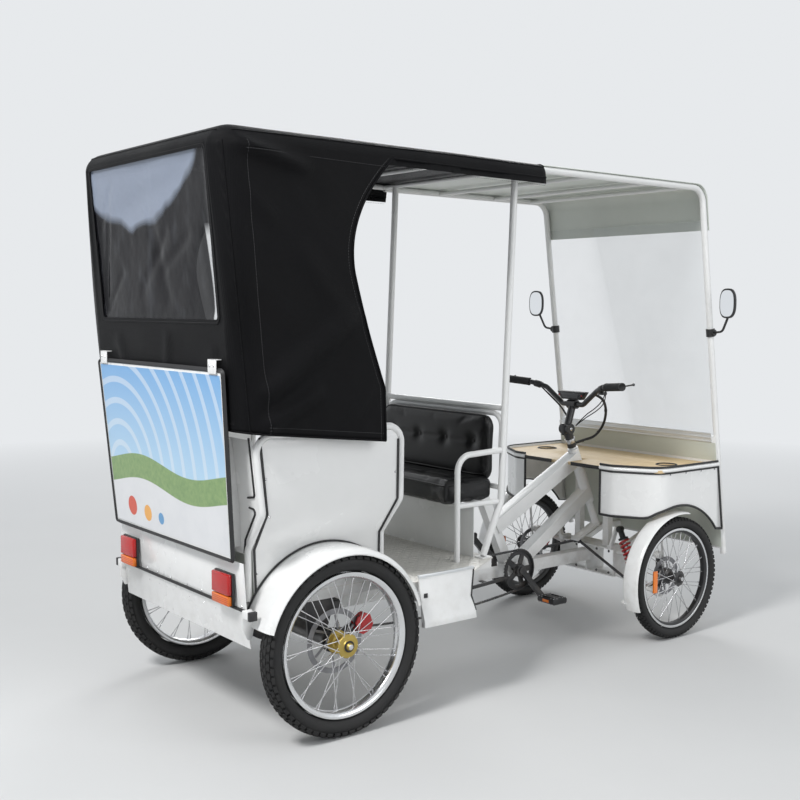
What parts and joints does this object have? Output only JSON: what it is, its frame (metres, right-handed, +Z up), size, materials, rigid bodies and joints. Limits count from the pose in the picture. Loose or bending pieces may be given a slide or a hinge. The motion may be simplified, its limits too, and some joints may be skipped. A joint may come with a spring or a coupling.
{
  "type": "four-wheeled cycle rickshaw with front screen and canopy",
  "caption": "Pedal-driven passenger vehicle with steered front wheels, a rider's hoop with screen, a forward bench and a covered rear seat.",
  "frame": {"origin": "on the ground, under the middle of the bounding box", "axes": "+X forward, +Y to the rider's left, +Z up"},
  "size_m": [2.45, 1.1938, 1.905],
  "materials": {
    "white_steel": "gloss",
    "black_steel": "satin",
    "white_panel": "gloss",
    "black_canvas": "woven",
    "clear_vinyl": "clear",
    "clear_sheet": "clear",
    "roof_sheet": "satin",
    "board_sheet": "satin",
    "tyre_rubber": "tread",
    "silver_rim": "bright",
    "black_rim": "anodised",
    "spoke_steel": "bright",
    "checker_plate": "embossed",
    "stainless": "brushed",
    "cast_dark": "rough",
    "battery_case": "moulded",
    "seat_vinyl": "soft",
    "plywood": "varnished",
    "spring_red": "gloss",
    "grip_rubber": "ribbed",
    "pedal_plastic": "moulded",
    "chain_steel": "oiled",
    "lamp_red": "clear red",
    "mirror_black": "gloss"
  },
  "bodies": {
    "chassis": {"main_frame": "white_steel", "deck_frame": "white_steel", "floor_deck": "checker_plate", "rear_axle": "black_steel", "drive_motor": "cast_dark", "battery_pack": "battery_case", "side_panels": "white_panel", "side_frames": "white_steel", "rear_mudguards": "white_panel", "step_skirts": "white_panel", "rear_panels": "white_panel", "rear_board": "board_sheet", "canopy_cover": "black_canvas", "rear_window": "clear_vinyl", "canopy_frame": "white_steel", "rider_hoop": "white_steel", "rider_roof": "roof_sheet", "screen": "clear_sheet", "shelf": "plywood", "fairing_sides": "white_panel", "front_panel": "white_panel", "front_subframe": "white_steel", "wishbones": "black_steel", "shock_absorbers": "spring_red", "rear_seat_box": "white_panel", "rear_seat": "seat_vinyl", "bench_seat": "seat_vinyl", "bench_frame": "white_steel", "bench_riser": "stainless", "saddle": "seat_vinyl", "seat_post": "black_steel", "tail_lamps": "lamp_red", "mirrors": "mirror_black", "chain": "chain_steel"},
    "rear_wheel_left": {"rear_wheel_left": "silver_rim", "rear_spokes_left": "spoke_steel", "rear_tyre_left": "tyre_rubber"},
    "front_wheel_left": {"front_wheel_left": "black_rim", "front_spokes_left": "spoke_steel", "front_tyre_left": "tyre_rubber"},
    "knuckle_left": {"knuckle_left": "black_steel", "front_mudguard_left": "white_panel"},
    "tie_rod_left": {"tie_rod_left": "black_steel"},
    "pedal_left": {"pedal_left": "pedal_plastic"},
    "rear_wheel_right": {"rear_wheel_right": "silver_rim", "rear_spokes_right": "spoke_steel", "rear_tyre_right": "tyre_rubber"},
    "front_wheel_right": {"front_wheel_right": "black_rim", "front_spokes_right": "spoke_steel", "front_tyre_right": "tyre_rubber"},
    "knuckle_right": {"knuckle_right": "black_steel", "front_mudguard_right": "white_panel"},
    "tie_rod_right": {"tie_rod_right": "black_steel"},
    "pedal_right": {"pedal_right": "pedal_plastic"},
    "steering": {"steering_column": "black_steel", "handlebar": "black_steel", "grips": "grip_rubber", "controls": "black_steel", "cable_bundle": "grip_rubber"},
    "crankset": {"crankset": "black_steel"}
  },
  "joints": [
    {"name": "rear_wheel_left_spin", "type": "hinge", "parent": "chassis", "child": "rear_wheel_left", "pos_m": [-0.827, 0.5, 0.297], "axis": [0, 1, 0], "continuous": true},
    {"name": "rear_wheel_right_spin", "type": "hinge", "parent": "chassis", "child": "rear_wheel_right", "pos_m": [-0.827, -0.5, 0.297], "axis": [0, 1, 0], "continuous": true},
    {"name": "steering_turn", "type": "hinge", "parent": "chassis", "child": "steering", "pos_m": [0.742, 0, 0.762], "axis": [-0.4067, 0, 0.9135], "range_deg": [-35, 35]},
    {"name": "knuckle_left_turn", "type": "hinge", "parent": "chassis", "child": "knuckle_left", "pos_m": [0.895, 0.362, 0.253], "axis": [0, 0, 1], "range_deg": [-28, 28]},
    {"name": "front_wheel_left_spin", "type": "hinge", "parent": "knuckle_left", "child": "front_wheel_left", "pos_m": [0.895, 0.44, 0.253], "axis": [0, 1, 0], "continuous": true},
    {"name": "tie_rod_left_swing", "type": "hinge", "parent": "steering", "child": "tie_rod_left", "pos_m": [0.77597, 0.012, 0.36116], "axis": [-0.4067, 0, 0.9135], "range_deg": [-35, 35]},
    {"name": "knuckle_right_turn", "type": "hinge", "parent": "chassis", "child": "knuckle_right", "pos_m": [0.895, -0.362, 0.253], "axis": [0, 0, 1], "range_deg": [-28, 28]},
    {"name": "front_wheel_right_spin", "type": "hinge", "parent": "knuckle_right", "child": "front_wheel_right", "pos_m": [0.895, -0.44, 0.253], "axis": [0, 1, 0], "continuous": true},
    {"name": "tie_rod_right_swing", "type": "hinge", "parent": "steering", "child": "tie_rod_right", "pos_m": [0.77597, -0.012, 0.36116], "axis": [-0.4067, 0, 0.9135], "range_deg": [-35, 35]},
    {"name": "crank_spin", "type": "hinge", "parent": "chassis", "child": "crankset", "pos_m": [0.36, 0, 0.291], "axis": [0, 1, 0], "continuous": true},
    {"name": "pedal_left_spin", "type": "hinge", "parent": "crankset", "child": "pedal_left", "pos_m": [0.25372, 0.15, 0.41326], "axis": [0, 1, 0], "continuous": true},
    {"name": "pedal_right_spin", "type": "hinge", "parent": "crankset", "child": "pedal_right", "pos_m": [0.46628, -0.15, 0.16874], "axis": [0, 1, 0], "continuous": true}
  ],
  "couplings": [
    {"joint": "knuckle_left_turn", "follows": "steering_turn", "ratio": 0.8},
    {"joint": "tie_rod_left_swing", "follows": "steering_turn", "ratio": -1},
    {"joint": "knuckle_right_turn", "follows": "steering_turn", "ratio": 0.8},
    {"joint": "tie_rod_right_swing", "follows": "steering_turn", "ratio": -1}
  ]
}
